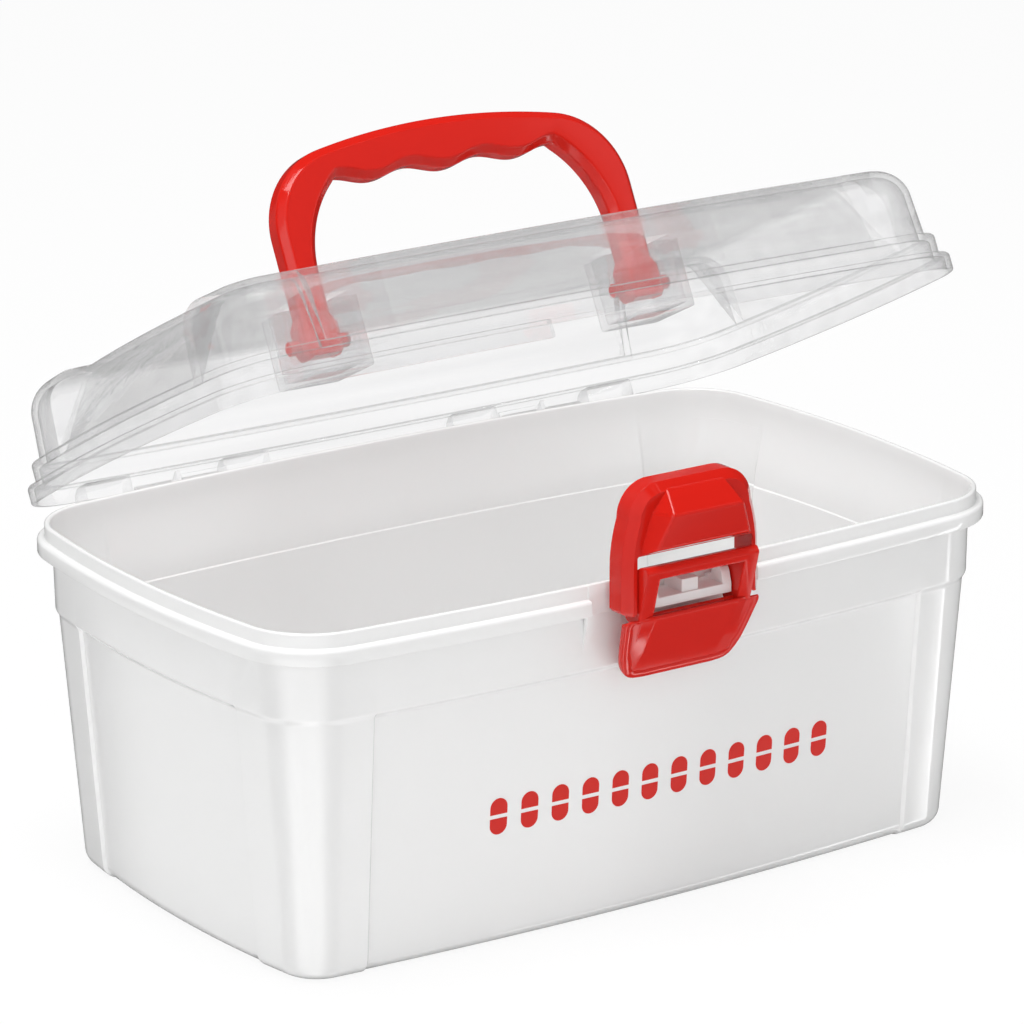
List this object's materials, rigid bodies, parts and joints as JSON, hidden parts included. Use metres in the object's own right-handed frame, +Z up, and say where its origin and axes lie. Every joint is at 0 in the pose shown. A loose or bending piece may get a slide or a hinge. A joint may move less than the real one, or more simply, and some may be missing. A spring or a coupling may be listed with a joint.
{
  "type": "medicine organizer case",
  "caption": "Portable case with a deep white tub, a clear hinged lid, a red carrying handle on the lid and a red draw latch at the front.",
  "frame": {"origin": "middle of the base, on the surface that the case stands on", "axes": "+X along the length, -Y towards the latch at the front, +Z up"},
  "size_m": [0.26, 0.1795, 0.2108],
  "materials": {
    "white_plastic": "glossy white moulding",
    "clear_plastic": "clear glossy moulding",
    "red_plastic": "glossy red moulding"
  },
  "bodies": {
    "tub": {"tub": "white_plastic", "latch_bracket": "white_plastic"},
    "lid": {"lid": "clear_plastic"},
    "handle": {"handle": "red_plastic"},
    "latch_lever": {"latch_lever": "red_plastic"},
    "latch_hook": {"latch_hook": "red_plastic"}
  },
  "joints": [
    {"name": "lid_hinge", "type": "hinge", "parent": "tub", "child": "lid", "pos_m": [0, 0.0812, 0.0998], "axis": [-1, 0, 0], "range_deg": [-26.5, 65]},
    {"name": "handle_pivot", "type": "hinge", "parent": "lid", "child": "handle", "pos_m": [0, 0.0162, 0.15701], "axis": [1, 0, 0], "range_deg": [-18, 18]},
    {"name": "latch_lever_pivot", "type": "hinge", "parent": "tub", "child": "latch_lever", "pos_m": [0, -0.0829, 0.1027], "axis": [-1, 0, 0], "range_deg": [-4.5, 35]},
    {"name": "latch_hook_pivot", "type": "hinge", "parent": "latch_lever", "child": "latch_hook", "pos_m": [0, -0.0844, 0.0994], "axis": [-1, 0, 0], "range_deg": [-78, 10]}
  ],
  "couplings": [
    {"joint": "latch_hook_pivot", "follows": "latch_lever_pivot", "ratio": -2.2}
  ]
}
